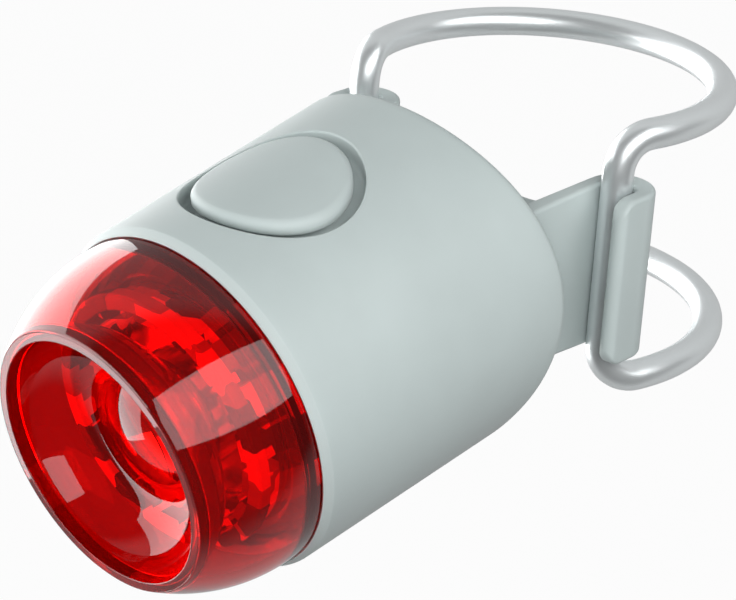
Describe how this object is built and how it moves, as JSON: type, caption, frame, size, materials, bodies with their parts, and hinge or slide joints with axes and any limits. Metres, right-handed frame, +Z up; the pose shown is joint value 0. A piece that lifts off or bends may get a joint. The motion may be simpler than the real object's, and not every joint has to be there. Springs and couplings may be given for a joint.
{
  "type": "bicycle rear light",
  "caption": "Barrel-shaped bicycle rear light in a grey silicone sleeve, with a red dished lens, a round top button and a steel wire loop hooked into two ears to strap it to a seat post.",
  "frame": {"origin": "on the seat post's axis, level with the middle of the light", "axes": "-Y the way the lens looks, +Z up, square to it, +X completing the right-handed set; the seat post leans back from +Z by 10.5 degrees, towards -Y at its foot"},
  "size_m": [0.0352, 0.0721, 0.0322],
  "materials": {
    "grey_silicone": "matt moulded silicone, pale grey green",
    "dark_plastic": "moulded, fine texture",
    "red_lens": "clear polished red polycarbonate",
    "black_rubber": "matt",
    "red_optic": "clear polished red acrylic",
    "bright_reflector": "vacuum plated",
    "white_board": "white solder mask",
    "led_package": "smooth",
    "black_plastic": "smooth",
    "green_board": "green solder mask",
    "cream_plastic": "smooth",
    "grey_foam": "open foam",
    "cell_pouch": "satin foil pouch",
    "steel_shell": "tinned",
    "polished_steel": "polished stainless wire"
  },
  "bodies": {
    "light": {"silicone_sleeve": "grey_silicone", "inner_housing": "dark_plastic", "outer_lens": "red_lens", "lens_seal": "black_rubber", "button_seal": "black_rubber", "light_guide": "red_optic", "collimator": "red_optic", "reflector": "bright_reflector", "led_board": "white_board", "main_led": "led_package", "side_leds": "led_package", "board_link": "black_plastic", "main_board": "green_board", "control_chip": "black_plastic", "switch_base": "black_plastic", "foam_pad": "grey_foam", "battery_cell": "cell_pouch", "charge_board": "green_board", "usb_shell": "steel_shell", "usb_tongue": "black_plastic"},
    "button": {"button_cap": "grey_silicone", "switch_plunger": "cream_plastic"},
    "loop": {"wire_loop": "polished_steel"},
    "cover": {"port_cover": "grey_silicone"}
  },
  "joints": [
    {"name": "button_press", "type": "slide", "parent": "light", "child": "button", "axis": [0, 0, -1], "range_m": [0, 0.0008], "stiffness_N_per_m": 2500},
    {"name": "loop_swing", "type": "hinge", "parent": "light", "child": "loop", "pos_m": [0.01457, -0.00842, 0.00156], "axis": [0, 0.1822, 0.9833], "range_deg": [0, 7]},
    {"name": "cover_open", "type": "hinge", "parent": "light", "child": "cover", "pos_m": [0, -0.0263, -0.01541], "axis": [1, 0, 0], "range_deg": [0, 100]}
  ]
}
